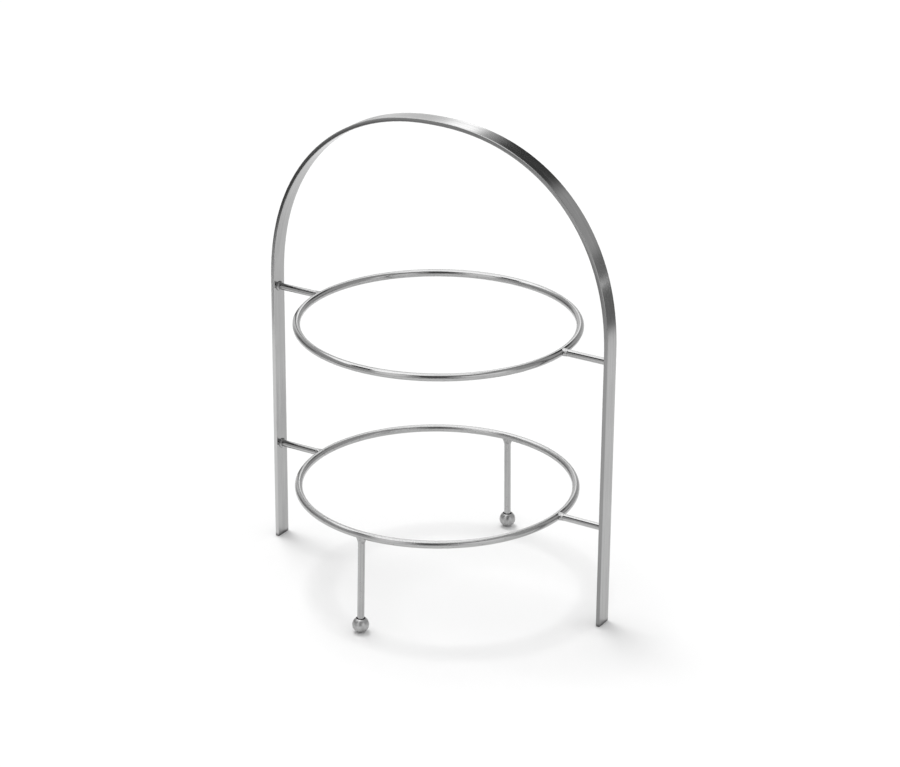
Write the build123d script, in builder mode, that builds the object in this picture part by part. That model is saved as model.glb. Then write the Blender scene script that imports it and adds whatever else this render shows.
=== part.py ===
"""Two-tier plate and cake stand: a flat-bar arch that carries two wire hoops on short arms.

Units are millimetres. The origin is on the table, midway between the two ends of the arch.
X runs along the span of the arch, Y across its flat bar and Z points up.
"""

import math
import os

from build123d import *

# --- driving dimensions ---------------------------------------------------------------------

# arch: one flat bar bent into an upside-down U, standing on its two cut ends
total_height = 350.0           # table to the top of the crown
half_span = 137.5              # centre plane to the middle of the bar's thickness
bar_width = 13.0               # across the flat, along Y
bar_thickness = 3.0
bend_clearance = 1.3           # straight bar left between the upper arms' welds and the bend
bend_fullness = 2.2            # power of the bend's curve: 2 is an ellipse, more is squarer
bar_edge_radius = 0.4          # deburred long edges
bar_end_radius = 1.0           # rounded corners of the two cut ends

# hoops: round wire rings that the plates rest on
hoop_radius = 100.0            # to the middle of the wire
wire_radius = 2.75
upper_hoop_height = 200.0
lower_hoop_height = 75.0
hoop_joint_angle = 45.0        # degrees from +X to where the wire's ends meet, clear of the rods

# arms: round stubs from the hoops to the inner faces of the arch
arm_radius = 2.5

# legs: round rods under the lower hoop, each in a ball foot
leg_radius = 2.5
leg_splay = 1.5                # degrees that each leg leans outwards
ball_radius = 6.0
ball_bore_depth = 5.0          # how far the rod goes into the ball, along its axis

# welds, ground smooth
arm_weld_reach = 2.0           # from the corner, along the wire and along the arm
leg_weld_reach = 3.0           # from the corner, along the wire and along the leg
bar_weld_reach = 1.2           # from the corner, over the bar and along the arm
weld_skin = 0.15               # least thickness, where a weld runs out

# --- derived places -------------------------------------------------------------------------

bar_face_x = half_span - bar_thickness / 2
straight_height = upper_hoop_height + arm_radius + bar_weld_reach + bend_clearance
bend_rise = total_height - bar_thickness / 2 - straight_height

leg_lean = math.radians(leg_splay)
leg_length = (lower_hoop_height - ball_radius) / math.cos(leg_lean)
ball_y = hoop_radius + leg_length * math.sin(leg_lean)

BEND_SPANS = 16                # pieces of the spline that follows the bend
SIDES = {"left": -1, "right": 1}
TIERS = {"upper": upper_hoop_height, "lower": lower_hoop_height}
ENDS = {"front": -1, "rear": 1}


def save(part, name):
    """Label a finished solid and write it to parts/."""
    part.label = name
    export_step(part, f"parts/{name}.step")


# --- arch -----------------------------------------------------------------------------------

def bend_point(angle):
    """A point of the bend's middle line, a superellipse, from 0 at the right to pi at the left."""
    cosine = math.cos(angle)
    run = math.copysign(abs(cosine) ** (2 / bend_fullness), cosine)
    rise = math.sin(angle) ** (2 / bend_fullness)
    return (half_span * run, straight_height + bend_rise * rise)


with BuildPart() as arch:
    with BuildLine(Plane.XZ) as middle_line:
        points = [bend_point(math.pi * span / BEND_SPANS) for span in range(BEND_SPANS + 1)]
        Line((half_span, 0), points[0])
        Spline(*points, tangents=((0, 1), (0, -1)))
        Line(points[-1], (-half_span, 0))
    with BuildSketch(Plane.XY):
        with Locations((half_span, 0)):
            RectangleRounded(bar_thickness, bar_width, bar_edge_radius)
    sweep()
    with BuildSketch(Plane.YZ):
        with Locations((0, total_height)):
            RectangleRounded(bar_width, 2 * total_height, bar_end_radius)
    extrude(amount=half_span + bar_thickness, both=True, mode=Mode.INTERSECT)


# --- hoops ----------------------------------------------------------------------------------

def make_hoop(height):
    """A wire ring whose middle line is level at a height."""
    joint_plane = Plane.XZ.rotated((0, 0, hoop_joint_angle))
    with BuildPart() as hoop:
        with BuildSketch(joint_plane):
            with Locations((hoop_radius, height)):
                Circle(wire_radius)
        revolve(axis=Axis.Z)
    return hoop.part


# --- arms and legs --------------------------------------------------------------------------

def arm_start(height, direction):
    """A plane in the middle of a hoop's wire that looks out along an arm, X along the wire."""
    origin = (direction * hoop_radius, 0, height)
    return Plane(origin=origin, x_dir=(0, 1, 0), z_dir=(direction, 0, 0))


def leg_start(direction):
    """A plane in the middle of the lower hoop's wire that looks down a leg, X along the wire."""
    origin = (0, direction * hoop_radius, lower_hoop_height)
    down = (0, direction * math.sin(leg_lean), -math.cos(leg_lean))
    return Plane(origin=origin, x_dir=(1, 0, 0), z_dir=down)


def make_rod(start, radius, length, hoop):
    """A round rod along a plane's normal, with its start coped to the hoop's wire."""
    with BuildPart() as rod:
        with BuildSketch(start):
            Circle(radius)
        extrude(amount=length)
        add(hoop, mode=Mode.SUBTRACT)
    return rod.part


# --- ball feet ------------------------------------------------------------------------------

def make_ball(start, direction):
    """A ball on the table with a blind bore for the leg's lower end."""
    with BuildPart() as ball:
        with Locations((0, direction * ball_y, ball_radius)):
            Sphere(ball_radius)
        with BuildSketch(start.offset(leg_length - ball_radius + ball_bore_depth)):
            Circle(leg_radius)
        extrude(amount=-2 * ball_bore_depth, mode=Mode.SUBTRACT)
    return ball.part


# --- welds ----------------------------------------------------------------------------------

def make_hoop_weld(start, radius, reach, hoop):
    """A flare of weld metal that spreads from a rod along the wire on both sides."""
    sections = (
        (0, radius + 2 * reach),
        (wire_radius, radius + reach / 2),
        (wire_radius + reach, radius + weld_skin),
    )
    with BuildPart() as weld:
        for rise, half_length in sections:
            with BuildSketch(start.offset(rise)):
                Ellipse(half_length, radius + weld_skin)
        loft()
        add(hoop, mode=Mode.SUBTRACT)
        with BuildSketch(start):
            Circle(radius)
        extrude(amount=2 * (wire_radius + reach), mode=Mode.SUBTRACT)
    return weld.part


def make_bar_weld(start):
    """A hollow-sided collar of weld metal between an arm and the inner face of the arch."""
    face = bar_face_x - hoop_radius
    rim = (arm_radius + bar_weld_reach, face)
    skin = (arm_radius + weld_skin, face - bar_weld_reach)
    with BuildPart() as weld:
        with BuildSketch(Plane(origin=start.origin, x_dir=start.x_dir, z_dir=-start.y_dir)):
            with BuildLine():
                RadiusArc(rim, skin, bar_weld_reach)
                Polyline(skin, (arm_radius, skin[1]), (arm_radius, face), rim)
            make_face()
        revolve(axis=Axis(start.origin, start.z_dir))
    return weld.part


os.makedirs("parts", exist_ok=True)
save(arch.part, "arch_strap")
hoops = {tier: make_hoop(height) for tier, height in TIERS.items()}
for tier, height in TIERS.items():
    save(hoops[tier], f"{tier}_ring")
    for side, direction in SIDES.items():
        start = arm_start(height, direction)
        save(make_rod(start, arm_radius, bar_face_x - hoop_radius, hoops[tier]), f"{tier}_{side}_arm")
        save(make_hoop_weld(start, arm_radius, arm_weld_reach, hoops[tier]), f"{tier}_{side}_ring_weld")
        save(make_bar_weld(start), f"{tier}_{side}_strap_weld")
for end, direction in ENDS.items():
    start = leg_start(direction)
    rod_length = leg_length - ball_radius + ball_bore_depth
    save(make_rod(start, leg_radius, rod_length, hoops["lower"]), f"{end}_leg")
    save(make_ball(start, direction), f"{end}_ball_foot")
    save(make_hoop_weld(start, leg_radius, leg_weld_reach, hoops["lower"]), f"{end}_leg_weld")
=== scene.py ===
"""Looks for a two-tier cake stand in brushed and polished steel.

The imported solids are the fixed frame. Pieces whose surface needs a finer mesh, or a grain that
runs with the metal, are modelled here and stand for their solids. Everything is in metres.
"""

from __future__ import annotations

import logging
import math
from contextlib import contextmanager
from dataclasses import dataclass, field
from enum import Enum
from typing import Any, Callable, Iterator, Mapping, NamedTuple, Sequence, Union

import bmesh
import bpy
import numpy as np
from mathutils import Matrix, Quaternion, Vector


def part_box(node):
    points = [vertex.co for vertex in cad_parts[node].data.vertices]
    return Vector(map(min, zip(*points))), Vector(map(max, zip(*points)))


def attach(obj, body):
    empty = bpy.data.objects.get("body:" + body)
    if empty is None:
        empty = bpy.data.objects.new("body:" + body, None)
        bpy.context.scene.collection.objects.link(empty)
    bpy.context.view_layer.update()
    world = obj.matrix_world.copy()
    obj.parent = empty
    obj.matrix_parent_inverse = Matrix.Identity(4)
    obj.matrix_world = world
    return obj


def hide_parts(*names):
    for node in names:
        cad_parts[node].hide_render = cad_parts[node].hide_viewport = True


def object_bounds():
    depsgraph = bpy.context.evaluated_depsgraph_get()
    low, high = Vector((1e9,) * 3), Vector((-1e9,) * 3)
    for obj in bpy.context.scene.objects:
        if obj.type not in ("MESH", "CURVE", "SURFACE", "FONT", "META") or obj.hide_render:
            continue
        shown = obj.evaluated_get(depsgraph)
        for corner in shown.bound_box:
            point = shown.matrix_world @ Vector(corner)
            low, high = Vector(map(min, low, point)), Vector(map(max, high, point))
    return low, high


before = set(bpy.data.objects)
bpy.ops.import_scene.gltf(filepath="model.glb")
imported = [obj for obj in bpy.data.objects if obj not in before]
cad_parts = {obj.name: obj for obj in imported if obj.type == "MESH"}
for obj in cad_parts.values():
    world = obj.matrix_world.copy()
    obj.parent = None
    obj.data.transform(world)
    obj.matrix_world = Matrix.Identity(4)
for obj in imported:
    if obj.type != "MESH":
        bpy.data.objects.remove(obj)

CAD_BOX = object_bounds()
ROOT = "root"
GRAIN = "grain"
MM = 0.001
TOUCH = 0.001 * MM  # points closer than this to a level lie on it
MERGE = 0.002 * MM  # points closer than this to each other are one
STRAIGHT = 1e-7  # radians below which two sections stand alike
UP = Vector((0.0, 0.0, 1.0))

log = logging.getLogger("cake_stand")

Triple = tuple[float, float, float]
Number = Union[float, "Sock"]


# --- named choices ---------------------------------------------------------------------------


class Slot(Enum):
    """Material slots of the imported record."""

    BAR = "brushed_bar"
    WIRE = "satin_wire"
    ROD = "polished_rod"
    BALL = "satin_ball"
    WELD = "ground_weld"


class Tier(Enum):
    """The two plate levels."""

    UPPER = "upper"
    LOWER = "lower"


class Side(Enum):
    """The two legs of the arch, by the sign of X."""

    LEFT = -1
    RIGHT = 1


class End(Enum):
    """The two ball feet, by the sign of Y."""

    FRONT = -1
    REAR = 1


# --- shader maths ----------------------------------------------------------------------------


class Sock:
    """A node socket that takes part in Python expressions.

    Args:
        graph: The node tree that the socket belongs to.
        socket: The output socket, or None for a node that has no output.
    """

    def __init__(self, graph: "Graph", socket: bpy.types.NodeSocket | None) -> None:
        """Keeps the tree and the socket."""
        self.graph = graph
        self.socket = socket

    def _do(self, operation: str, *values: Number) -> "Sock":
        """Adds one Math node and gives its result."""
        inputs = dict(enumerate(values))
        return self.graph.node("ShaderNodeMath", {"operation": operation}, inputs)

    def __add__(self, other: Number) -> "Sock":
        """self + other."""
        return self._do("ADD", self, other)

    def __radd__(self, other: Number) -> "Sock":
        """other + self."""
        return self._do("ADD", other, self)

    def __sub__(self, other: Number) -> "Sock":
        """self - other."""
        return self._do("SUBTRACT", self, other)

    def __rsub__(self, other: Number) -> "Sock":
        """other - self."""
        return self._do("SUBTRACT", other, self)

    def __mul__(self, other: Number) -> "Sock":
        """self * other."""
        return self._do("MULTIPLY", self, other)

    def __rmul__(self, other: Number) -> "Sock":
        """other * self."""
        return self._do("MULTIPLY", other, self)

    def __abs__(self) -> "Sock":
        """The size of self."""
        return self._do("ABSOLUTE", self)

    def ramp(self, low: float, high: float, to_low: float = 0.0, to_high: float = 1.0) -> "Sock":
        """A smooth, clamped step from one value to another.

        Args:
            low: Input at which the step starts.
            high: Input at which it ends.
            to_low: Result at and below low.
            to_high: Result at and above high.

        Returns:
            The stepped value.
        """
        return self.graph.node(
            "ShaderNodeMapRange",
            {"interpolation_type": "SMOOTHSTEP", "clamp": True},
            {"Value": self, "From Min": low, "From Max": high, "To Min": to_low, "To Max": to_high},
        )


@dataclass(frozen=True)
class Pattern:
    """One layer of noise.

    Args:
        waves: Waves per metre on each axis.
        detail: Octaves of noise.
        roughness: Weight of each finer octave.
    """

    waves: Triple
    detail: float = 2.0
    roughness: float = 0.5


class Graph:
    """Builds one node tree.

    Args:
        owner: The material or world, whose tree is emptied first.
    """

    def __init__(self, owner: bpy.types.Material | bpy.types.World) -> None:
        """Turns on the owner's nodes and empties its tree.

        Args:
            owner: The material or world.
        """
        owner.use_nodes = True
        self.tree = owner.node_tree
        self.tree.nodes.clear()

    def node(
        self,
        kind: str,
        settings: Mapping[str, Any] | None = None,
        inputs: Mapping[str | int, Any] | None = None,
        out: str | int = 0,
    ) -> Sock:
        """Adds a node of any type.

        Args:
            kind: The node's type name.
            settings: Its own properties, which are set before its sockets.
            inputs: Numbers, colours, vectors or links for its sockets.
            out: The output to hand back.

        Returns:
            That output as a Sock.
        """
        made = self.tree.nodes.new(kind)
        for name, value in (settings or {}).items():
            setattr(made, name, value)
        for key, value in (inputs or {}).items():
            if isinstance(value, Sock):
                self.tree.links.new(value.socket, made.inputs[key])
            else:
                made.inputs[key].default_value = value
        return Sock(self, made.outputs[out] if len(made.outputs) else None)

    def object_place(self) -> Sock:
        """Object coordinates in metres."""
        return self.node("ShaderNodeTexCoord", out="Object")

    def grain_place(self) -> Sock:
        """Metres along the metal and over its section, from the piece's own attribute."""
        settings = {"attribute_name": GRAIN, "attribute_type": "GEOMETRY"}
        return self.node("ShaderNodeAttribute", settings, out="Vector")

    def split(self, vector: Sock) -> list[Sock]:
        """The three parts of a vector."""
        parts = self.node("ShaderNodeSeparateXYZ", inputs={0: vector}).socket.node.outputs
        return [Sock(self, part) for part in parts]

    def noise(self, place: Sock, pattern: Pattern) -> Sock:
        """Noise stretched by its frequency on each axis.

        Args:
            place: The coordinates, in metres.
            pattern: How fine it is on each axis.

        Returns:
            A value about 0.5, from 0 to 1.
        """
        scaled = self.node(
            "ShaderNodeVectorMath", {"operation": "MULTIPLY"}, {0: place, 1: pattern.waves}
        )
        inputs = {"Detail": pattern.detail, "Roughness": pattern.roughness}
        return self.node(
            "ShaderNodeTexNoise",
            {"noise_dimensions": "3D", "normalize": True},
            {"Vector": scaled, "Scale": 1.0, **inputs},
        )

    def shades(self, first: Triple | Sock, second: Triple | Sock, share: Number) -> Sock:
        """A colour between two.

        Args:
            first: Colour at share 0.
            second: Colour at share 1.
            share: The share of the second colour.

        Returns:
            The mixed colour.
        """
        ends = [end if isinstance(end, Sock) else (*end, 1.0) for end in (first, second)]
        # the node's sockets share their names, and 6 and 7 are its colours, with 2 their mix
        return self.node(
            "ShaderNodeMix",
            {"data_type": "RGBA", "blend_type": "MIX", "clamp_factor": True},
            {0: share, 6: ends[0], 7: ends[1]},
            out=2,
        )

    def bump(self, height: Sock, strength: float, depth: float) -> Sock:
        """A normal roughened by a height.

        Args:
            height: Height from 0 to 1.
            strength: Share of the effect.
            depth: Depth of the full height, in metres.

        Returns:
            The normal.
        """
        return self.node(
            "ShaderNodeBump", inputs={"Strength": strength, "Distance": depth, "Height": height}
        )

    def metal(self, colour: Sock, roughness: Sock, normal: Sock) -> None:
        """Ends the tree in bare metal.

        Args:
            colour: Reflected colour, face on.
            roughness: Width of the gloss.
            normal: The bumped normal.
        """
        look = {"Base Color": colour, "Roughness": roughness, "Normal": normal}
        skin = self.node("ShaderNodeBsdfPrincipled", inputs={"Metallic": 1.0, **look})
        self.node("ShaderNodeOutputMaterial", inputs={"Surface": skin})


def grey(value: float) -> Triple:
    """A neutral colour of that reflectance."""
    return (value, value, value)


def blend(first: Sock, second: Sock, share: float) -> Sock:
    """Two values added up, with the first's share of the whole."""
    return first * share + second * (1.0 - share)


# --- finishes --------------------------------------------------------------------------------

MIDDLE = (0.3, 0.7)  # the part of its range that a noise mostly stays in


@dataclass(frozen=True)
class Finish:
    """What every finish has.

    Args:
        name: The material's name.
        slot: The record's slot that it belongs to; not used.
        dull: Reflectance of the darkest marks.
        bright: Reflectance of the cleanest metal.
        gloss: Roughness of the smoothest places.
        matt: Roughness of the roughest places.
    """

    name: str
    slot: Slot
    dull: float
    bright: float
    gloss: float
    matt: float

    def paint(self, graph: Graph) -> None:
        """Builds the node tree; each finish has its own."""
        raise NotImplementedError

    def shade(self, graph: Graph, share: Sock) -> Sock:
        """A tone between the finish's dull and bright ones, by the share of the bright."""
        return graph.shades(grey(self.dull), grey(self.bright), share)

    def material(self) -> bpy.types.Material:
        """The finish as a material, made once and shared.

        Returns:
            The material.
        """
        found = bpy.data.materials.get(self.name)
        if found is None:
            found = bpy.data.materials.new(self.name)
            self.paint(Graph(found))
        return found

    def dress(self, piece: bpy.types.Object) -> None:
        """Gives a piece this finish.

        Args:
            piece: The piece.
        """
        piece.data.materials.clear()
        piece.data.materials.append(self.material())


@dataclass(frozen=True)
class BrushedBar(Finish):
    """Flat bar rubbed lengthwise with an abrasive pad.

    Args:
        half_width: Half the width of the bar.
        painted_light_edge: Reflectance of its narrow faces at the left leg, a painted highlight
            for the brighter reflection there.
        painted_shade_edge: The same at the right leg, painted shade for the darker reflection
            there.
        fade: Metres along the bar between which one turns into the other.
        uneven: How far the strokes carry that change forward and back.
        contact_shade_heights: Metres above the floor between which the painted shadow at the cut
            ends fades; it stands in for the contact shadow mirrored just above the floor.
        contact_shade: Share of that painted shadow at the cut, and its reflectance as a share of
            dull.
        narrow: How far inside the bar's width its narrow faces start, and are full.
        smoother: How much less rough the narrow faces are.
        strokes: The pad's long strokes.
        scratches: Finer scratches among them.
        clouds: Slow clouding over them.
        depth: Depth of the strokes.
    """

    half_width: float = 6.5 * MM
    painted_light_edge: float = 0.52
    painted_shade_edge: float = 0.28
    fade: tuple[float, float] = (0.14, 0.66)
    uneven: float = 0.16
    contact_shade_heights: tuple[float, float] = (0.4 * MM, 3.6 * MM)
    contact_shade: tuple[float, float] = (0.8, 0.2)
    narrow: tuple[float, float] = (0.3 * MM, 0.1 * MM)
    smoother: float = 0.03
    strokes: Pattern = Pattern((14.0, 620.0, 900.0), detail=3.0, roughness=0.6)
    scratches: Pattern = Pattern((45.0, 2600.0, 3000.0), roughness=0.65)
    clouds: Pattern = Pattern((26.0, 60.0, 60.0))
    depth: float = 0.03 * MM

    def paint(self, graph: Graph) -> None:
        """Long strokes, fine scratches and slow clouding, with narrow faces of their own.

        The narrow faces carry a painted highlight towards the left leg and painted shade towards
        the right, and a painted shadow darkens the bar just above the floor.

        Args:
            graph: The material's empty tree.
        """
        place = graph.grain_place()
        along, across, _ = graph.split(place)
        strokes = graph.noise(place, self.strokes)
        scratches = graph.noise(place, self.scratches)
        clouds = graph.noise(place, self.clouds)
        narrow = abs(across).ramp(*(self.half_width - inside for inside in self.narrow))
        lines = blend(strokes, scratches, share=0.6)
        tone = blend(lines.ramp(0.32, 0.68), clouds.ramp(*MIDDLE), share=0.7)
        wide = self.shade(graph, tone)
        # painted light and shade: the narrow faces are painted lighter towards the left leg, darker
        # towards the right
        edge_lighting = along.ramp(*self.fade, 1.0, 0.0) + tone * self.uneven - self.uneven / 2
        edge = graph.shades(grey(self.painted_shade_edge), grey(self.painted_light_edge), edge_lighting)
        # painted shadow: the bar is darkened just above the floor, for the contact shadow it
        # mirrors there
        _, _, height = graph.split(graph.object_place())
        share, darkness = self.contact_shade
        contact_shade = height.ramp(*self.contact_shade_heights, share, 0.0)
        clean = graph.shades(wide, edge, narrow)
        colour = graph.shades(clean, grey(self.dull * darkness), contact_shade)
        rough = lines.ramp(*MIDDLE, self.matt, self.gloss) - narrow * self.smoother
        graph.metal(colour, rough, graph.bump(lines, strength=0.5, depth=self.depth))


@dataclass(frozen=True)
class DrawnWire(Finish):
    """Round wire or rod with the faint lengthwise lines of the drawing die.

    Args:
        depth: Depth of those lines.
        drawn: The die's lines round the section.
        patches: Soft patches along the length.
        nicks: Where small nicks lie.
        darker: How much a nick takes off the shade.
        rougher: How much it adds to the roughness.
        deeper: How far it cuts into the surface, as a share of the depth.
    """

    depth: float = 0.02 * MM
    drawn: Pattern = Pattern((10.0, 1100.0, 1100.0), roughness=0.6)
    patches: Pattern = Pattern((55.0, 240.0, 240.0), detail=3.0)
    nicks: Pattern = Pattern((420.0, 520.0, 520.0), detail=1.0)
    darker: float = 0.5
    rougher: float = 0.08
    deeper: float = 0.3

    def paint(self, graph: Graph) -> None:
        """Drawn lines round the section, soft patches along the length and small nicks.

        Args:
            graph: The material's empty tree.
        """
        place = graph.grain_place()
        drawn = graph.noise(place, self.drawn)
        patches = graph.noise(place, self.patches)
        nicks = graph.noise(place, self.nicks).ramp(0.66, 0.74)
        marks = blend(drawn, patches, share=0.7)
        colour = self.shade(graph, marks.ramp(0.32, 0.66) - nicks * self.darker)
        rough = patches.ramp(0.35, 0.65, self.gloss, self.matt) + nicks * self.rougher
        cut = marks - nicks * self.deeper
        graph.metal(colour, rough, graph.bump(cut, strength=0.45, depth=self.depth))


@dataclass(frozen=True)
class SatinBall(Finish):
    """Turned and tumbled ball, finely pitted.

    Args:
        dimples: The tumbler's dimples.
        pits: Fine pits among them.
        patches: Slow patches over them.
        shares: How much the dimples, patches and pits each say in the shade.
        depth: Depth of the dimples.
    """

    dimples: Pattern = Pattern((620.0, 620.0, 620.0))
    pits: Pattern = Pattern((2100.0, 2100.0, 2100.0), roughness=0.6)
    patches: Pattern = Pattern((230.0, 230.0, 230.0), detail=1.0)
    shares: Triple = (0.45, 0.35, 0.2)
    depth: float = 0.05 * MM

    def paint(self, graph: Graph) -> None:
        """Tumbling dimples, fine pits and slow patches.

        Args:
            graph: The material's empty tree.
        """
        place = graph.object_place()
        dimples = graph.noise(place, self.dimples)
        pits = graph.noise(place, self.pits)
        patches = graph.noise(place, self.patches)
        wide, slow, fine = self.shares
        tone = dimples.ramp(*MIDDLE) * wide + patches.ramp(*MIDDLE) * slow + pits * fine
        rough = dimples.ramp(*MIDDLE, self.gloss, self.matt)
        marks = blend(dimples, pits, share=0.7)
        normal = graph.bump(marks, strength=0.5, depth=self.depth)
        graph.metal(self.shade(graph, tone), rough, normal)


@dataclass(frozen=True)
class SunkBraze(Finish):
    """Dark braze and flux left in the sunk rim round a rod.

    Args:
        grains: Grains of flux and metal.
        depth: Depth of the grains.
    """

    grains: Pattern = Pattern((1500.0, 1500.0, 1500.0))
    depth: float = 0.08 * MM

    def paint(self, graph: Graph) -> None:
        """Grainy dark metal with a few bright specks.

        Args:
            graph: The material's empty tree.
        """
        grains = graph.noise(graph.object_place(), self.grains)
        colour = self.shade(graph, grains.ramp(0.5, 0.8))
        rough = grains.ramp(*MIDDLE, self.matt, self.gloss)
        graph.metal(colour, rough, graph.bump(grains, strength=0.7, depth=self.depth))


@dataclass(frozen=True)
class GroundWeld(Finish):
    """Fillet weld dressed by hand with a small flap wheel.

    Args:
        bar_weld_shade: Metres from the middle between which welds turn darker, so that those at
            the bar carry painted shade over the highlight of their fillets.
        topside: How far a face looks up where that painted shade starts, and where it is full.
        painted_shade_depth: How much darker it makes them.
        wheel: The wheel's short crossing marks.
        ripple: The bead's faint ripple.
        soot: Where soot is left.
        darker: How much soot takes off the shade.
        rougher: How much it adds to the roughness.
        depth: Depth of the marks.
    """

    bar_weld_shade: tuple[float, float] = (0.118, 0.126)
    topside: tuple[float, float] = (-0.25, 0.35)
    painted_shade_depth: float = 0.7
    wheel: Pattern = Pattern((520.0, 1300.0, 900.0), detail=3.0, roughness=0.6)
    ripple: Pattern = Pattern((800.0, 800.0, 380.0), detail=1.0)
    soot: Pattern = Pattern((300.0, 300.0, 300.0))
    darker: float = 0.15
    rougher: float = 0.05
    depth: float = 0.06 * MM

    def paint(self, graph: Graph) -> None:
        """Short crossing wheel marks over the faint ripple of the bead.

        Args:
            graph: The material's empty tree.
        """
        place = graph.object_place()
        wheel = graph.noise(place, self.wheel)
        ripple = graph.noise(place, self.ripple)
        soot = graph.noise(place, self.soot).ramp(0.5, 0.75)
        marks = blend(wheel, ripple, share=0.6)
        sideways, _, _ = graph.split(place)
        _, _, upward = graph.split(graph.node("ShaderNodeNewGeometry", out="Normal"))
        # painted shade: upward faces of the welds at the bar are darkened where their fillets catch
        # the highlight
        bar_weld_shade = abs(sideways).ramp(*self.bar_weld_shade, 0.0, self.painted_shade_depth) * upward.ramp(*self.topside)
        share = marks.ramp(0.3, 0.66, 0.4, 1.0) - soot * self.darker - bar_weld_shade
        rough = marks.ramp(*MIDDLE, self.matt, self.gloss) + soot * self.rougher
        normal = graph.bump(marks, strength=0.6, depth=self.depth)
        graph.metal(self.shade(graph, share), rough, normal)


# each with its dull and bright reflectance, and its gloss and matt roughness
BAR = BrushedBar("steel_brushed_bar", Slot.BAR, 0.34, 0.443, 0.12, 0.19)
WIRE = DrawnWire("steel_satin_wire", Slot.WIRE, 0.34, 0.45, 0.10, 0.16)
MATT_WIRE = DrawnWire("steel_matt_wire", Slot.WIRE, 0.36, 0.46, 0.19, 0.27)
ROD = DrawnWire("steel_polished_rod", Slot.ROD, 0.37, 0.48, 0.03, 0.06, depth=0.006 * MM)
BALL = SatinBall("steel_satin_ball", Slot.BALL, 0.33, 0.50, 0.27, 0.38)
BRAZE = SunkBraze("steel_sunk_braze", Slot.BALL, 0.03, 0.12, 0.45, 0.65)
WELD = GroundWeld("steel_ground_weld", Slot.WELD, 0.20, 0.46, 0.15, 0.26)

HOOP_FINISH = {Tier.UPPER: WIRE, Tier.LOWER: MATT_WIRE}


# --- bench: mesh work by operators -----------------------------------------------------------


class Bench:
    """Hand tools for a mesh: add, pick, turn, finish."""

    @staticmethod
    def clear() -> None:
        """Deselects everything."""
        bpy.ops.object.select_all(action="DESELECT")

    @staticmethod
    def take(piece: bpy.types.Object) -> None:
        """Selects one piece, alone, and makes it the active one.

        Args:
            piece: The object to take.
        """
        Bench.clear()
        piece.select_set(True)
        bpy.context.view_layer.objects.active = piece

    @staticmethod
    def name(piece_name: str) -> bpy.types.Object:
        """Names the newest object and its mesh.

        Args:
            piece_name: The name for both.

        Returns:
            The object.
        """
        piece = bpy.context.active_object
        piece.name = piece.data.name = piece_name
        return piece

    @staticmethod
    @contextmanager
    def editing(piece: bpy.types.Object) -> Iterator[None]:
        """Edit mode on one piece with all of it selected.

        Args:
            piece: The object to edit.

        Yields:
            Nothing.
        """
        Bench.take(piece)
        bpy.ops.object.mode_set(mode="EDIT")
        bpy.ops.mesh.select_mode(type="VERT")
        bpy.ops.mesh.select_all(action="SELECT")
        try:
            yield
        finally:
            bpy.ops.object.mode_set(mode="OBJECT")

    @staticmethod
    def pick(piece: bpy.types.Object, wanted: Callable[[Vector], bool]) -> None:
        """Selects, in edit mode, the vertices that lie where asked, and nothing else.

        Args:
            piece: The object in edit mode.
            wanted: Says of a point whether it is picked.
        """
        bpy.ops.mesh.select_all(action="DESELECT")
        mesh = bmesh.from_edit_mesh(piece.data)
        for vert in mesh.verts:
            vert.select = wanted(vert.co)
        mesh.select_flush(True)
        bmesh.update_edit_mesh(piece.data)

    @staticmethod
    def turn(angle: float, axis: str, centre: Vector) -> None:
        """Turns the selection by the right-hand rule, as transform.rotate turns the other way."""
        bpy.ops.transform.rotate(value=-angle, orient_axis=axis, center_override=tuple(centre))

    @staticmethod
    def scale(factors: Triple, centre: Vector) -> None:
        """Scales the selection about a point."""
        bpy.ops.transform.resize(value=factors, center_override=tuple(centre))

    @staticmethod
    def extrude(step: Vector) -> None:
        """Extrudes the selected face by a step."""
        bpy.ops.mesh.extrude_region_move(TRANSFORM_OT_translate={"value": tuple(step)})

    @staticmethod
    def draw_down(depth: float) -> None:
        """Extrudes the selected edges straight down."""
        bpy.ops.mesh.extrude_edges_move(TRANSFORM_OT_translate={"value": (0.0, 0.0, -depth)})

    @staticmethod
    def settle(piece: bpy.types.Object) -> None:
        """Puts the object at the origin, with its place in its mesh."""
        Bench.take(piece)
        bpy.ops.object.transform_apply(location=True, rotation=True, scale=True)

    @staticmethod
    def close(piece: bpy.types.Object) -> None:
        """Merges doubles and points every face outwards.

        Args:
            piece: The object to close.
        """
        with Bench.editing(piece):
            bpy.ops.mesh.remove_doubles(threshold=MERGE)
            bpy.ops.mesh.normals_make_consistent(inside=False)

    @staticmethod
    def smooth(piece: bpy.types.Object, degrees: float, weighted: bool = False) -> None:
        """Smooth shading up to an edge angle.

        Args:
            piece: The object to shade.
            degrees: Edges sharper than this stay sharp.
            weighted: Whether wide faces keep their own normals.
        """
        Bench.take(piece)
        bpy.ops.object.shade_smooth_by_angle(angle=math.radians(degrees))
        if weighted:
            modifier = piece.modifiers.new("flat_faces", "WEIGHTED_NORMAL")
            modifier.keep_sharp = True
            modifier.weight = 100
            bpy.ops.object.modifier_apply(modifier=modifier.name)

    @staticmethod
    def grain(piece: bpy.types.Object, read: Callable[[Vector, Vector], Triple]) -> None:
        """Writes the grain attribute on every face corner.

        Args:
            piece: The object to mark.
            read: Gives along, across and depth from a corner's place and its face's centre.
        """
        mesh = piece.data
        layer = mesh.attributes.new(GRAIN, "FLOAT_VECTOR", "CORNER")
        for face in mesh.polygons:
            for loop in face.loop_indices:
                corner = mesh.vertices[mesh.loops[loop].vertex_index].co
                layer.data[loop].vector = read(corner, face.center)


# --- the stand's pieces ----------------------------------------------------------------------


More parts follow.
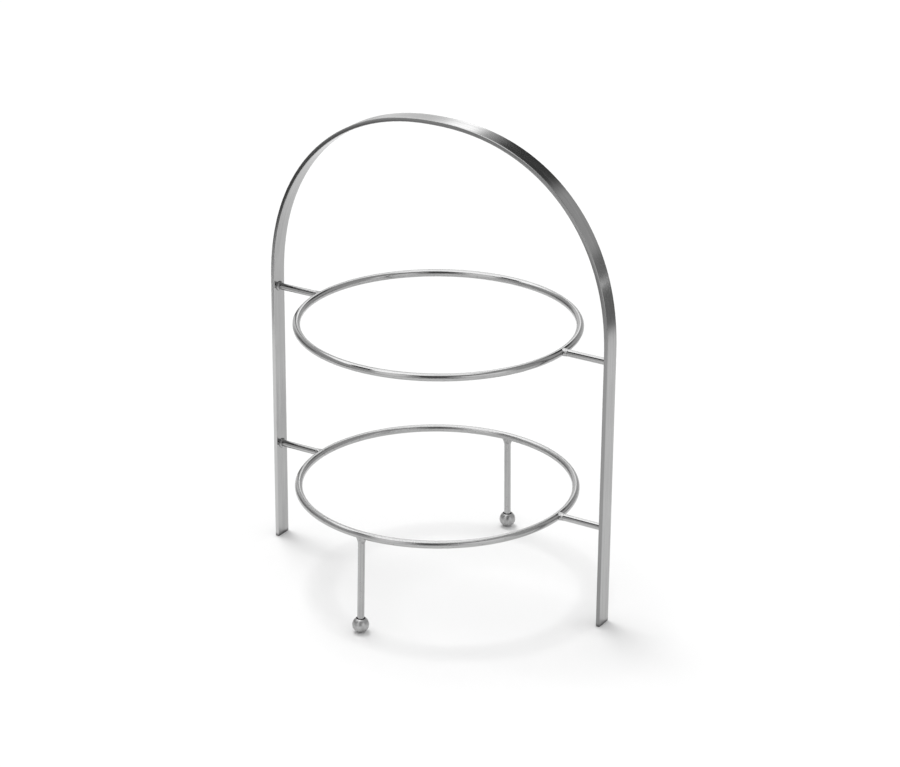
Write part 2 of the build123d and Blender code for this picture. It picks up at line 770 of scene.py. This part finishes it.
class Station(NamedTuple):
    """Where one section of the bar stands, and how far it is drawn in.

    Args:
        x: Place of the middle line along the span.
        z: Its height.
        shorter: How far each end of the section's width is drawn in.
        thinner: How far each side of its thickness is.
    """

    x: float
    z: float
    shorter: float = 0.0
    thinner: float = 0.0


@dataclass
class Arch:
    """The flat bar bent into an upside-down U, standing on its two cut ends.

    Args:
        thickness: Thickness of the bar.
        bend_start: Height at which the straight legs end.
        fullness: Power of the bend's curve; 2 is an ellipse and more is squarer.
        edge: Radius of the deburred long edges.
        end_corner: Radius of the rounded corners of the cut ends.
        end_break: Filed edge of the cut ends, on the wide faces.
        edge_steps: Faces round each deburred edge.
        end_steps: Sections over the rounded corner of a cut end.
        leg_steps: Sections up each straight leg.
        bend_steps: Sections in each half of the bend.
        node: The bar's solid.
    """

    thickness: float = 3.0 * MM
    bend_start: float = 205.0 * MM
    fullness: float = 2.2
    edge: float = 0.45 * MM
    end_corner: float = 1.0 * MM
    end_break: float = 0.45 * MM
    edge_steps: int = 3
    end_steps: int = 4
    leg_steps: int = 11
    bend_steps: int = 44
    node: str = "arch_strap"
    half_span: float = field(init=False)
    crown: float = field(init=False)
    width: float = field(init=False)

    def __post_init__(self) -> None:
        """Takes the bar's span, height and width from its solid."""
        low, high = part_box(self.node)
        self.half_span = (high.x - low.x - self.thickness) / 2
        self.crown = high.z - self.thickness / 2
        self.width = high.y - low.y

    def cut_end(self) -> list[Station]:
        """The lowest sections of a leg, with the cut's rounded corners and filed edges.

        Returns:
            The sections, from the cut upwards.
        """
        sections = []
        for angle in np.linspace(0.0, math.pi / 2, self.end_steps + 1):
            rise = self.end_corner * (1.0 - math.cos(angle))
            shorter = self.end_corner * (1.0 - math.sin(angle))
            below = max(0.0, self.end_break - rise)
            thinner = self.end_break - math.sqrt(max(0.0, self.end_break**2 - below**2))
            sections.append(Station(-self.half_span, rise, shorter, thinner))
        return sections

    def stations(self) -> list[Station]:
        """Where each section of the bar stands, from the left foot to the right one.

        Returns:
            The sections, in order.
        """
        levels = np.linspace(0.0, self.bend_start, self.leg_steps + 1)[1:]
        leg = [Station(-self.half_span, float(z)) for z in levels]
        rise = self.crown - self.bend_start
        power = 2.0 / self.fullness
        bend = []
        for angle in np.linspace(math.pi, math.pi / 2, self.bend_steps + 1)[1:-1]:
            x = -self.half_span * abs(math.cos(angle)) ** power
            bend.append(Station(x, self.bend_start + rise * math.sin(angle) ** power))
        left = self.cut_end() + leg + bend
        right = [station._replace(x=-station.x) for station in reversed(left)]
        return left + [Station(0.0, self.crown)] + right

    def headings(self, line: np.ndarray) -> np.ndarray:
        """Turn of each section about Y, from upright, in radians.

        Args:
            line: x and z of the middle line.

        Returns:
            One angle for each station, 0 going up and pi going down.
        """
        steps = np.diff(line, axis=0)
        angles = np.arctan2(steps[:, 0], steps[:, 1])
        inner = (angles[:-1] + angles[1:]) / 2
        return np.concatenate([[0.0], inner, [math.pi]])

    def build(self) -> bpy.types.Object:
        """Extrudes the bar's section from one foot, over the crown, to the other.

        Returns:
            The finished arch.
        """
        stations = self.stations()
        line = np.array([(station.x, station.z) for station in stations])
        turns = self.headings(line)
        centres = [Vector((x, 0.0, z)) for x, z in line]
        Bench.clear()
        bpy.ops.mesh.primitive_plane_add(size=1.0, location=centres[0])
        piece = Bench.name("arch_bar")
        piece.scale = (self.thickness, self.width, 1.0)
        Bench.settle(piece)
        with Bench.editing(piece):
            bpy.ops.mesh.bevel(offset=self.edge, segments=self.edge_steps, affect="VERTICES")
        with Bench.editing(piece):
            size = self.section_size(stations[0])
            Bench.scale((size[0] / self.thickness, size[1] / self.width, 1.0), centres[0])
            bpy.ops.mesh.select_mode(type="FACE")
            for i in range(1, len(stations)):
                Bench.extrude(centres[i] - centres[i - 1])
                turn = turns[i] - turns[i - 1]
                if abs(turn) > STRAIGHT:
                    Bench.turn(turn, "Y", centres[i])
                grown = self.section_size(stations[i])
                if grown != size:
                    Bench.scale((grown[0] / size[0], grown[1] / size[1], 1.0), centres[i])
                size = grown
        Bench.close(piece)
        Bench.smooth(piece, degrees=40.0, weighted=True)
        self.mark(piece, line)
        BAR.dress(piece)
        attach(piece, ROOT)
        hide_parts(self.node)
        return piece

    def section_size(self, station: Station) -> tuple[float, float]:
        """Thickness and width of the section at a station."""
        return self.thickness - 2 * station.thinner, self.width - 2 * station.shorter

    def mark(self, piece: bpy.types.Object, line: np.ndarray) -> None:
        """Writes the grain: along the bar, across its width and through its thickness.

        Args:
            piece: The arch.
            line: x and z of its middle line.
        """
        steps = np.diff(line, axis=0)
        lengths = np.linalg.norm(steps, axis=1)
        starts = np.concatenate([[0.0], np.cumsum(lengths)])

        def read(corner: Vector, _: Vector) -> Triple:
            """Finds a corner's place in the bar, by the nearest stretch of the middle line.

            Args:
                corner: A face corner of the arch.

            Returns:
                Metres along the bar, across its width and out from its middle line.
            """
            offset = np.array((corner.x, corner.z)) - line[:-1]
            share = np.clip((offset * steps).sum(1) / lengths**2, 0.0, 1.0)
            gap = offset - steps * share[:, None]
            far = np.linalg.norm(gap, axis=1)
            near = int(far.argmin())
            ahead, out = steps[near], gap[near]
            side = math.copysign(1.0, ahead[1] * out[0] - ahead[0] * out[1])
            along = float(starts[near] + lengths[near] * share[near])
            return (along, corner.y, side * float(far[near]))

        Bench.grain(piece, read)


@dataclass
class Hoop:
    """A round wire ring that a plate rests on.

    Args:
        tier: Which level it carries.
        joint: Where the wire's two ends meet, in degrees from +X.
        steps: Sections round the hoop.
        sides: Corners of the wire's section.
    """

    tier: Tier
    joint: float = 45.0
    steps: int = 192
    sides: int = 32
    wire: float = field(init=False)
    radius: float = field(init=False)
    height: float = field(init=False)

    def __post_init__(self) -> None:
        """Takes the hoop's sizes from its solid."""
        low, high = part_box(self.node)
        self.wire = (high.z - low.z) / 2
        self.radius = (high.x - low.x) / 2 - self.wire
        self.height = (high.z + low.z) / 2

    @property
    def node(self) -> str:
        """The hoop's solid."""
        return f"{self.tier.value}_ring"

    def build(self) -> bpy.types.Object:
        """Spins the wire's section round the stand's axis.

        Returns:
            The finished hoop.
        """
        start = math.radians(self.joint)
        place = (self.radius * math.cos(start), self.radius * math.sin(start), self.height)
        Bench.clear()
        bpy.ops.mesh.primitive_circle_add(
            vertices=self.sides,
            radius=self.wire,
            fill_type="NOTHING",
            location=place,
            rotation=(math.pi / 2, 0.0, start),
        )
        piece = Bench.name(f"{self.tier.value}_hoop")
        Bench.settle(piece)
        with Bench.editing(piece):
            centre = (0.0, 0.0, self.height)
            bpy.ops.mesh.spin(steps=self.steps, angle=math.tau, center=centre, axis=UP)
        Bench.close(piece)
        Bench.smooth(piece, degrees=60.0)
        self.mark(piece)
        HOOP_FINISH[self.tier].dress(piece)
        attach(piece, ROOT)
        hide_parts(self.node)
        return piece

    def mark(self, piece: bpy.types.Object) -> None:
        """Writes the grain, which starts and ends at the wire's joint.

        Args:
            piece: The hoop.
        """
        start = math.radians(self.joint)

        def read(corner: Vector, centre: Vector) -> Triple:
            """Finds a corner's place in the wire, on the same side of the joint as its face.

            Args:
                corner: A face corner of the hoop.
                centre: The middle of that face.

            Returns:
                Metres along the wire from its joint, out from the wire's middle, and up.
            """
            middle = (math.atan2(centre.y, centre.x) - start) % math.tau
            turn = (math.atan2(corner.y, corner.x) - start - middle + math.pi) % math.tau - math.pi
            return (
                self.radius * (middle + turn),
                math.hypot(corner.x, corner.y) - self.radius,
                corner.z - self.height,
            )

        Bench.grain(piece, read)


@dataclass
class Rod:
    """A straight round rod between two points, with filed ends.

    Args:
        name: The piece's name.
        node: The solid that it stands for.
        start: Middle of one end.
        end: Middle of the other end.
        radius: Radius of the rod.
        finish: Its finish.
        phase: Metres that its grain is moved along, so that no two rods match.
        filed: Chamfer of its ends.
        sides: Corners of its section.
    """

    name: str
    node: str
    start: Vector
    end: Vector
    radius: float
    finish: Finish
    phase: float
    filed: float = 0.15 * MM
    sides: int = 32

    def build(self) -> bpy.types.Object:
        """Turns a filed rod upright and lays it between its two ends.

        Returns:
            The finished rod.
        """
        run = self.end - self.start
        Bench.clear()
        bpy.ops.mesh.primitive_cylinder_add(
            vertices=self.sides, radius=self.radius, depth=run.length, end_fill_type="NGON"
        )
        piece = Bench.name(self.name)
        level = run.length / 2 - TOUCH
        inner = self.radius - self.filed / 2
        for sign in (-1, 1):
            with Bench.editing(piece):
                Bench.pick(piece, lambda p: p.z * sign > level)
                bpy.ops.mesh.inset(thickness=self.filed, depth=0.0)
                Bench.pick(piece, lambda p: p.z * sign > level and math.hypot(p.x, p.y) > inner)
                bpy.ops.transform.translate(value=(0.0, 0.0, -sign * self.filed))
        self.mark(piece)
        piece.rotation_mode = "QUATERNION"
        piece.rotation_quaternion = run.to_track_quat("Z", "Y")
        piece.location = (self.start + self.end) / 2
        Bench.settle(piece)
        Bench.close(piece)
        Bench.smooth(piece, degrees=30.0)
        self.finish.dress(piece)
        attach(piece, ROOT)
        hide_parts(self.node)
        return piece

    def mark(self, piece: bpy.types.Object) -> None:
        """Writes the grain along the upright rod, before it is laid in place."""
        Bench.grain(piece, lambda corner, _: (corner.z + self.phase, corner.x, corner.y))


@dataclass
class BallFoot:
    """A ball bored for its rod, with a sunk rim that holds the braze.

    Args:
        end: Front or rear.
        lean: Angle that the rod leans outwards, in degrees.
        bore: Radius of the bore.
        rim: Radius of the sunk rim at the ball's surface.
        sink: Depth of the rim's slope.
        depth: Depth of the bore below the rim.
        margin: How far inside the rim's edge a face has to lie to count as sunk.
        segments: Faces round the ball.
        rings: Faces from pole to pole.
    """

    end: End
    lean: float
    bore: float = 2.56 * MM
    rim: float = 3.35 * MM
    sink: float = 0.55 * MM
    depth: float = 3.0 * MM
    margin: float = 0.02 * MM
    segments: int = 72
    rings: int = 48
    radius: float = field(init=False)
    centre: Vector = field(init=False)

    def __post_init__(self) -> None:
        """Takes the ball's size and place from its solid."""
        low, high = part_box(self.node)
        self.radius = (high.x - low.x) / 2
        self.centre = Vector(((low.x + high.x) / 2, (low.y + high.y) / 2, low.z + self.radius))

    @property
    def node(self) -> str:
        """The ball's solid."""
        return f"{self.end.name.lower()}_ball_foot"

    def build(self) -> bpy.types.Object:
        """Cuts the top off a ball and sinks a rim and a bore into it.

        Returns:
            The finished ball.
        """
        cut = math.sqrt(self.radius**2 - self.rim**2)
        narrowing = self.bore / self.rim
        Bench.clear()
        bpy.ops.mesh.primitive_uv_sphere_add(
            segments=self.segments, ring_count=self.rings, radius=self.radius
        )
        piece = Bench.name(f"{self.end.name.lower()}_ball")
        with Bench.editing(piece):
            bpy.ops.mesh.bisect(plane_co=UP * cut, plane_no=UP, clear_outer=True, use_fill=False)
            Bench.pick(piece, lambda p: p.z > cut - TOUCH)
            Bench.draw_down(self.sink)
            Bench.scale((narrowing, narrowing, 1.0), UP * (cut - self.sink))
            Bench.draw_down(self.depth)
            bpy.ops.mesh.edge_face_add()
        BALL.dress(piece)
        self.braze(piece)
        piece.rotation_euler = (math.radians(self.lean) * self.end.value, 0.0, 0.0)
        piece.location = self.centre
        Bench.settle(piece)
        Bench.close(piece)
        Bench.smooth(piece, degrees=30.0)
        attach(piece, ROOT)
        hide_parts(self.node)
        return piece

    def braze(self, piece: bpy.types.Object) -> None:
        """Gives the sunk rim and the bore the finish of braze.

        Args:
            piece: The ball, still upright about the origin.
        """
        piece.data.materials.append(BRAZE.material())
        for face in piece.data.polygons:
            sunk = math.hypot(face.center.x, face.center.y) < self.rim - self.margin
            face.material_index = int(sunk and face.center.z > 0.0)


def dress_weld(name: str) -> bpy.types.Object:
    """Gives the solid of a weld its finish.

    Args:
        name: The weld's node.

    Returns:
        The solid.
    """
    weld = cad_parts[name]
    WELD.dress(weld)
    return weld


@dataclass
class Tiering:
    """One level: its hoop, its two arms and their welds.

    Args:
        tier: Which level it is.
        shift: Metres by which the grain of its left and right arm is moved apart.
    """

    tier: Tier
    shift: float = 0.3
    arm_radius: float = field(init=False)

    def __post_init__(self) -> None:
        """Takes the radius of both arms from the right one's solid."""
        low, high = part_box(f"{self.tier.value}_right_arm")
        self.arm_radius = (high.z - low.z) / 2

    def build(self) -> list[bpy.types.Object]:
        """Builds the hoop and arms and dresses the welds.

        Returns:
            All pieces of the level.
        """
        hoop = Hoop(self.tier)
        made = [hoop.build()]
        for side in Side:
            word = f"{self.tier.value}_{side.name.lower()}"
            made.append(self.arm(f"{word}_arm", side, hoop.radius).build())
            made += [dress_weld(f"{word}_{weld}") for weld in ("ring_weld", "strap_weld")]
        return made

    def arm(self, node: str, side: Side, reach: float) -> Rod:
        """One arm, from the middle of the hoop's wire to the bar.

        Args:
            node: The arm's solid.
            side: Left or right.
            reach: Radius of the hoop.

        Returns:
            The arm, not yet built.
        """
        low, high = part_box(node)
        outer = high.x if side is Side.RIGHT else low.x
        height = (low.z + high.z) / 2
        return Rod(
            name=f"{node}_rod",
            node=node,
            start=Vector((side.value * reach, 0.0, height)),
            end=Vector((outer, 0.0, height)),
            radius=self.arm_radius,
            finish=ROD,
            phase=side.value * self.shift + height,
        )


@dataclass
class Foot:
    """One rod leg under the lower hoop, with its ball and weld.

    Args:
        end: Front or rear.
        lean: Angle that the leg leans outwards, in degrees.
        seat: How far above the ball's middle the rod ends in its bore.
        shift: Metres by which the grain of the two legs is moved apart.
    """

    end: End
    lean: float = 1.5
    seat: float = 1.2 * MM
    shift: float = 0.7

    def build(self) -> list[bpy.types.Object]:
        """Builds the leg and ball and dresses the weld.

        Returns:
            The foot's pieces.
        """
        node = f"{self.end.name.lower()}_leg"
        low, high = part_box(node)
        ball = BallFoot(self.end, self.lean)
        angle = math.radians(self.lean)
        axis = Vector((0.0, -self.end.value * math.sin(angle), math.cos(angle)))
        rise = Hoop(Tier.LOWER).height - ball.centre.z
        leg = Rod(
            name=f"{node}_rod",
            node=node,
            start=ball.centre + axis * self.seat,
            end=ball.centre + axis * (rise / axis.z),
            radius=(high.x - low.x) / 2,
            finish=MATT_WIRE,
            phase=self.end.value * self.shift,
        )
        return [leg.build(), ball.build(), dress_weld(f"{node}_weld")]


# --- studio ----------------------------------------------------------------------------------


def direction(azimuth: float, elevation: float) -> Vector:
    """Unit vector of a compass direction.

    Args:
        azimuth: Degrees from +Y towards +X.
        elevation: Degrees above the floor.

    Returns:
        The direction.
    """
    turn, climb = math.radians(azimuth), math.radians(elevation)
    level = math.cos(climb)
    return Vector((math.sin(turn) * level, math.cos(turn) * level, math.sin(climb)))


@dataclass(frozen=True)
class Card:
    """A studio card that only the gloss of the metal sees.

    Args:
        name: The card's name.
        azimuth: Degrees from +Y towards +X.
        elevation: Degrees above the floor.
        width: Full width as an angle, in degrees.
        height: Full height as an angle, in degrees.
        glow: Radiance; 0 is a black flag.
        distance: Distance from the stand's middle, in metres.
        feather: Share of each half side over which it fades.
        roll: Turn in its own plane, in degrees; counter-clockwise as the stand sees it.
    """

    name: str
    azimuth: float
    elevation: float
    width: float
    height: float
    glow: float
    distance: float = 9.0
    feather: float = 0.5
    roll: float = 0.0

    def build(self, aim: Vector) -> bpy.types.Object:
        """Sets the card up facing the stand.

        Args:
            aim: The point that it faces.

        Returns:
            The card.
        """
        back = direction(self.azimuth, self.elevation)
        Bench.clear()
        bpy.ops.mesh.primitive_plane_add(size=2.0)
        card = Bench.name(self.name)
        card.rotation_mode = "QUATERNION"
        spin = Quaternion(UP, math.radians(self.roll))
        card.rotation_quaternion = back.to_track_quat("-Z", "Y") @ spin
        card.location = aim + back * self.distance
        card.scale = (
            self.distance * math.tan(math.radians(self.width / 2)),
            self.distance * math.tan(math.radians(self.height / 2)),
            1.0,
        )
        dress_card(card, self.glow, self.feather)
        return card


@dataclass(frozen=True)
class TableCard:
    """A card laid on the floor, which only the gloss of the metal sees.

    Args:
        name: The card's name.
        azimuth: Degrees from +Y towards +X of its middle, seen from the stand.
        distance: Metres from the stand to its middle.
        across: Its size across that line, in metres.
        along: Its size along that line, in metres.
        glow: Radiance; 0 is black.
        feather: Share of each half side over which it fades.
        lift: Height above the floor, in metres.
    """

    name: str
    azimuth: float
    distance: float
    across: float
    along: float
    glow: float
    feather: float = 0.3
    lift: float = 0.002

    def build(self, _aim: Vector) -> bpy.types.Object:
        """Lays the card on the floor.

        Args:
            _aim: The point that upright cards face, which this one doesn't need.

        Returns:
            The card.
        """
        out = direction(self.azimuth, 0.0)
        Bench.clear()
        bpy.ops.mesh.primitive_plane_add(size=2.0)
        card = Bench.name(self.name)
        card.rotation_euler = (0.0, 0.0, -math.radians(self.azimuth))
        card.location = out * self.distance + UP * self.lift
        card.scale = (self.across / 2, self.along / 2, 1.0)
        dress_card(card, self.glow, self.feather)
        return card


def dress_card(card: bpy.types.Object, glow: float, feather: float) -> None:
    """Gives a card its glow with feathered edges, and hides it from all but gloss.

    Args:
        card: A plane whose own corners are at plus and minus 1.
        glow: Radiance; 0 is black.
        feather: Share of each half side over which it fades.
    """
    material = bpy.data.materials.new(card.name)
    graph = Graph(material)
    x, y, _ = graph.split(graph.object_place())
    across, along = (abs(side).ramp(1.0 - feather, 1.0, 1.0, 0.0) for side in (x, y))
    inside = across * along
    clear = graph.node("ShaderNodeBsdfTransparent")
    lit = graph.node("ShaderNodeEmission", inputs={"Strength": glow})
    skin = graph.node("ShaderNodeMixShader", inputs={0: inside, 1: clear, 2: lit})
    graph.node("ShaderNodeOutputMaterial", inputs={"Surface": skin})
    card.data.materials.append(material)
    for ray in ("camera", "diffuse", "shadow", "transmission", "volume_scatter"):
        setattr(card, f"visible_{ray}", False)


@dataclass
class Studio:
    """White table, soft key light, pale surround and cards.

    Args:
        cards: The cards that the metal mirrors.
        floor_half: Half side of the floor.
        floor_tone: Reflectance of the floor.
        floor_mottle: How far the reflectance strays from that.
        mottle: The pattern in which it does.
        key_power: Strength of the key light.
        key_spread: Angle that the key light fills, in degrees.
        key_azimuth: Where the key stands, in degrees from +Y towards +X.
        key_elevation: Its height, in degrees.
        key_distance: Metres to it; a sun's light is the same from any.
        surround: Radiance of the pale surround, as it lights the floor.
        mirrored: Its radiance where the metal mirrors it.
        backdrop: What the camera sees behind the floor.
    """

    cards: tuple[Card | TableCard, ...]
    floor_half: float = 30.0
    floor_tone: float = 0.858
    floor_mottle: float = 0.004
    mottle: Pattern = Pattern((9.0, 9.0, 9.0), detail=2.0)
    key_power: float = 1.24
    key_spread: float = 19.0
    key_azimuth: float = -70.0
    key_elevation: float = 72.7
    key_distance: float = 3.0
    surround: float = 1.05
    mirrored: float = 0.72
    backdrop: float = 1.06

    def build(self) -> None:
        """Lays the floor, hangs the light and stands up the cards."""
        self.lay_floor()
        self.hang_key()
        self.paint_surround()
        low, high = CAD_BOX
        aim = Vector((0.0, 0.0, (low.z + high.z) / 2))
        for card in self.cards:
            log.info("card %s", card.build(aim).name)

    def lay_floor(self) -> None:
        """A large matt white floor with the faintest mottle."""
        Bench.clear()
        bpy.ops.mesh.primitive_plane_add(size=2 * self.floor_half)
        floor = Bench.name("floor")
        material = bpy.data.materials.new("white_table")
        graph = Graph(material)
        low, high = self.floor_tone - self.floor_mottle, self.floor_tone + self.floor_mottle
        mottle = graph.noise(graph.object_place(), self.mottle)
        colour = graph.shades(grey(low), grey(high), mottle)
        skin = graph.node(
            "ShaderNodeBsdfPrincipled",
            inputs={"Base Color": colour, "Roughness": 0.9, "Specular IOR Level": 0.0},
        )
        graph.node("ShaderNodeOutputMaterial", inputs={"Surface": skin})
        floor.data.materials.append(material)

    def hang_key(self) -> None:
        """A broad overhead light, a little to the left and behind."""
        lamp = bpy.data.lights.new("key_light", "SUN")
        lamp.energy = self.key_power
        lamp.angle = math.radians(self.key_spread)
        key = bpy.data.objects.new("key_light", lamp)
        bpy.context.scene.collection.objects.link(key)
        back = direction(self.key_azimuth, self.key_elevation)
        key.rotation_mode = "QUATERNION"
        key.rotation_quaternion = back.to_track_quat("Z", "Y")
        key.location = back * self.key_distance
        key.visible_glossy = False

    def paint_surround(self) -> None:
        """An even pale surround that lights the floor, white where the camera sees it."""
        world = bpy.data.worlds.new("surround")
        bpy.context.scene.world = world
        graph = Graph(world)
        seen = graph.node("ShaderNodeLightPath", out="Is Camera Ray")
        gloss = graph.node("ShaderNodeLightPath", out="Is Glossy Ray")
        strength = (
            self.surround
            + seen * (self.backdrop - self.surround)
            + gloss * (self.mirrored - self.surround)
        )
        light = graph.node("ShaderNodeBackground", inputs={"Strength": strength})
        graph.node("ShaderNodeOutputWorld", inputs={"Surface": light})


@dataclass(frozen=True)
class ViewCamera:
    """The main camera.

    Args:
        azimuth: Degrees from +Y towards +X.
        elevation: Degrees above the floor.
        roll: Degrees that the camera is rolled.
        distance: Metres from its aim.
        lens: Focal length in millimetres.
        sensor: Width of its sensor in millimetres.
        offset: Aim from the middle of the stand's box, in metres.
    """

    azimuth: float = 148.665
    elevation: float = 22.833
    roll: float = 0.4355
    distance: float = 1.97713
    lens: float = 113.0285
    sensor: float = 36.0
    offset: Triple = (0.0230191, -0.0213602, -0.00867)

    def build(self) -> None:
        """Stands the camera up and makes it the scene's."""
        low, high = CAD_BOX
        aim = (low + high) / 2 + Vector(self.offset)
        back = direction(self.azimuth, self.elevation)
        right = UP.cross(back).normalized()
        up = back.cross(right)
        roll = math.radians(self.roll)
        across = right * math.cos(roll) + up * math.sin(roll)
        over = up * math.cos(roll) - right * math.sin(roll)
        data = bpy.data.cameras.new("camera")
        data.lens = self.lens
        data.sensor_width = self.sensor
        camera = bpy.data.objects.new("camera", data)
        bpy.context.scene.collection.objects.link(camera)
        place = Matrix((across, over, back)).transposed().to_4x4()
        place.translation = aim + back * self.distance
        camera.matrix_world = place
        bpy.context.scene.camera = camera


# a Card's azimuth, elevation, width, height and glow; a TableCard's azimuth, distance, size
# across and along, and glow
CARDS = (
    Card("back_left_softbox", -40.0, 6.0, 48.0, 54.0, 0.98, feather=0.25),
    Card("back_left_lamp", -27.0, 25.5, 14.0, 14.0, 2.3, distance=8.8, feather=0.7),
    Card("back_panel", -6.0, 5.0, 30.0, 26.0, 0.70, feather=0.3),
    Card("overhead_softbox", -96.0, 70.0, 74.0, 56.0, 2.3, feather=0.25),
    Card("zenith_softbox", 148.0, 84.0, 44.0, 22.0, 2.0, distance=8.95, feather=0.3),
    Card("back_high_softbox", -31.0, 58.0, 36.0, 48.0, 2.0, distance=8.9, feather=0.35),
    Card("front_softbox", -175.0, 24.0, 32.0, 66.0, 1.22, feather=0.4),
    Card("right_softbox", 110.0, 18.0, 50.0, 58.0, 1.22, feather=0.5),
    Card("back_gap_flag", 2.0, 36.0, 38.0, 19.0, 0.06, distance=8.6, feather=0.5),
    Card("back_right_wall", 34.0, 18.0, 36.0, 30.0, 0.60, distance=8.7, feather=0.3),
    Card("back_right_low_flag", 38.0, -2.0, 36.0, 24.0, 0.28, distance=8.5, feather=0.4),
    Card("front_left_flag", -115.0, 8.0, 76.0, 46.0, 0.50, feather=0.4),
    Card("left_flag", -88.0, 4.0, 44.0, 38.0, 0.20, distance=8.7, feather=0.5),
    Card("front_right_flag", 142.0, 53.0, 84.0, 34.0, 0.30, feather=0.4),
    Card("camera_flag", 151.0, 35.0, 25.0, 62.0, 0.10, distance=8.8, feather=0.3),
    Card("operator_flag", -135.5, 46.0, 14.0, 35.0, 0.0, distance=8.6, feather=0.1, roll=-37.0),
    Card("operator_shade", -145.0, 29.0, 24.0, 22.0, 0.52, distance=8.7, feather=0.4),
    TableCard("back_left_table_shade", -35.0, 4.7, 5.0, 7.4, 0.70, feather=0.2),
    TableCard("back_right_table_flag", 40.0, 2.3, 2.2, 3.2, 0.24, feather=0.14),
    TableCard("front_left_table_flag", -112.0, 1.75, 2.6, 2.4, 0.48, feather=0.18),
    TableCard("front_left_table_patch", -139.0, 0.93, 0.36, 0.64, 0.06, feather=0.7, lift=0.004),
    TableCard("front_table_patch", -150.0, 0.60, 0.56, 0.30, 0.50, feather=0.6, lift=0.003),
    TableCard("left_table_flag", -92.0, 2.4, 2.2, 2.6, 0.38, feather=0.4, lift=0.005),
    TableCard("front_table_end", 150.0, 1.05, 0.9, 1.0, 0.10, feather=0.5, lift=0.003),
)


def main() -> None:
    """Builds the stand, then the studio and camera."""
    logging.basicConfig(level=logging.INFO, format="%(name)s: %(message)s")
    pieces: list[bpy.types.Object] = [Arch().build()]
    for tier in Tier:
        pieces += Tiering(tier).build()
    for end in End:
        pieces += Foot(end).build()
    for piece in pieces:
        log.info("%s: %d faces", piece.name, len(piece.data.polygons))
    Studio(cards=CARDS).build()
    ViewCamera().build()
    bpy.context.scene.view_settings.view_transform = "Standard"


if __name__ == "__main__":
    main()
